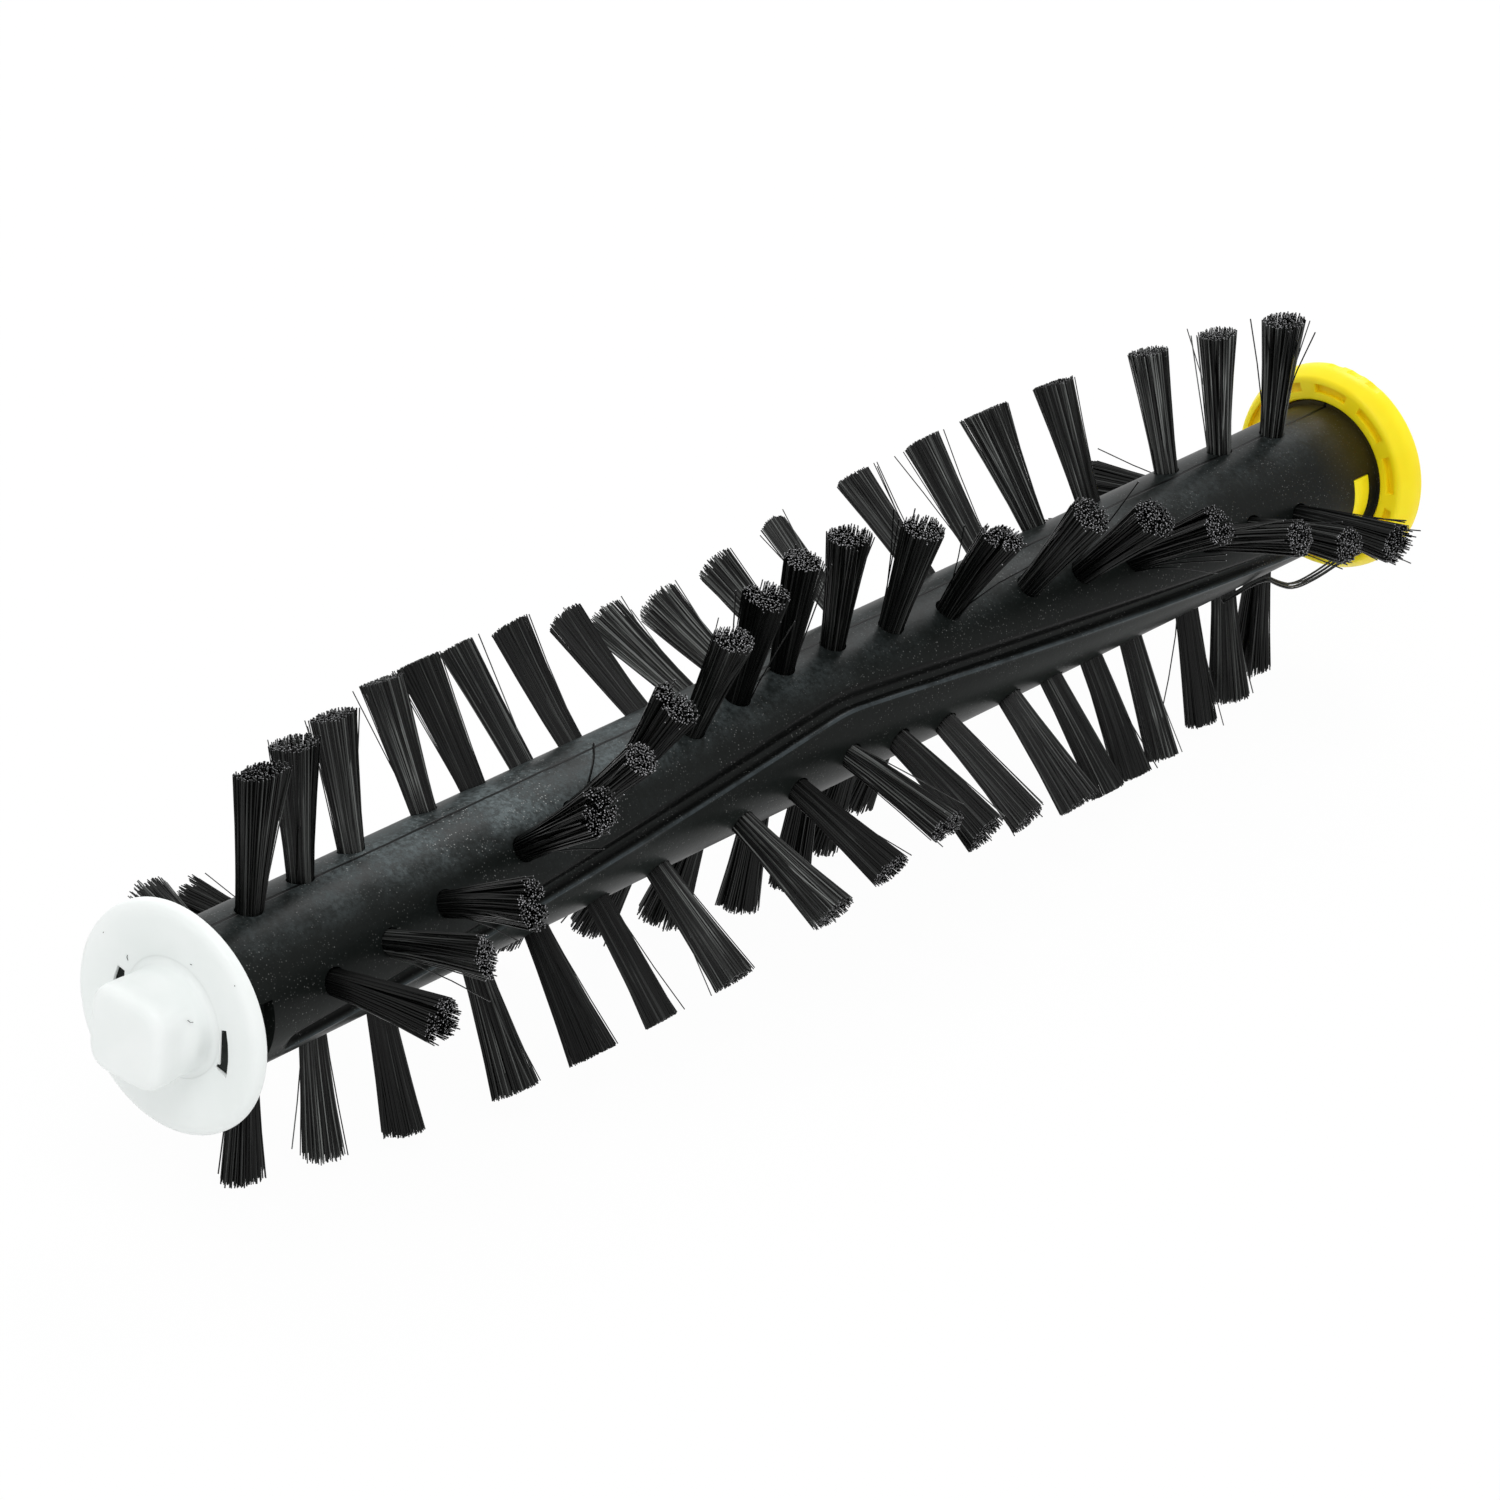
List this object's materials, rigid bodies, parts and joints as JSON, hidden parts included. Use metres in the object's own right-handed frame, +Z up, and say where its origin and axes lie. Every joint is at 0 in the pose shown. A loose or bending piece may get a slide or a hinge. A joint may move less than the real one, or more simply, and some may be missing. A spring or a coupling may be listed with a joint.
{
  "type": "vacuum turbo brush",
  "caption": "Bristle roller for a floor cleaner: a grooved core with chevron rows of nylon tufts, a square-ended drive cap and a cap with a free-turning bearing.",
  "frame": {"origin": "centre of the drive boss's end face, on the roller's axis", "axes": "+X along the roller from the drive boss to the bearing, +Z up as the roller lies on a floor"},
  "size_m": [0.1791, 0.0382, 0.0382],
  "materials": {
    "charcoal_plastic": "matte, dusty",
    "black_nylon": "glossy filaments with grey cut tips",
    "white_plastic": "satin, slightly translucent",
    "yellow_plastic": "satin",
    "black_plastic": "satin",
    "steel": "turned",
    "bronze": "sintered"
  },
  "bodies": {
    "roller": {"roller_core": "charcoal_plastic", "drive_end_cap": "white_plastic", "bearing_end_cap": "yellow_plastic", "axle_pin": "steel", "thrust_washer": "steel", "retaining_clip": "steel", "top_tuft_01": "black_nylon", "top_tuft_02": "black_nylon", "top_tuft_03": "black_nylon", "top_tuft_04": "black_nylon", "top_tuft_05": "black_nylon", "top_tuft_06": "black_nylon", "top_tuft_07": "black_nylon", "top_tuft_08": "black_nylon", "top_tuft_09": "black_nylon", "top_tuft_10": "black_nylon", "top_tuft_11": "black_nylon", "top_tuft_12": "black_nylon", "top_tuft_13": "black_nylon", "top_tuft_14": "black_nylon", "top_tuft_15": "black_nylon", "top_tuft_16": "black_nylon", "top_tuft_17": "black_nylon", "top_tuft_18": "black_nylon", "front_tuft_01": "black_nylon", "front_tuft_02": "black_nylon", "front_tuft_03": "black_nylon", "front_tuft_04": "black_nylon", "front_tuft_05": "black_nylon", "front_tuft_06": "black_nylon", "front_tuft_07": "black_nylon", "front_tuft_08": "black_nylon", "front_tuft_09": "black_nylon", "front_tuft_10": "black_nylon", "front_tuft_11": "black_nylon", "front_tuft_12": "black_nylon", "front_tuft_13": "black_nylon", "front_tuft_14": "black_nylon", "front_tuft_15": "black_nylon", "front_tuft_16": "black_nylon", "front_tuft_17": "black_nylon", "front_tuft_18": "black_nylon", "front_tuft_19": "black_nylon"},
    "bearing": {"bearing_bush": "bronze", "bearing_holder": "black_plastic"}
  },
  "joints": [
    {"name": "bearing_spin", "type": "hinge", "parent": "roller", "child": "bearing", "pos_m": [0.1755, 0, 0], "axis": [1, 0, 0], "continuous": true}
  ]
}
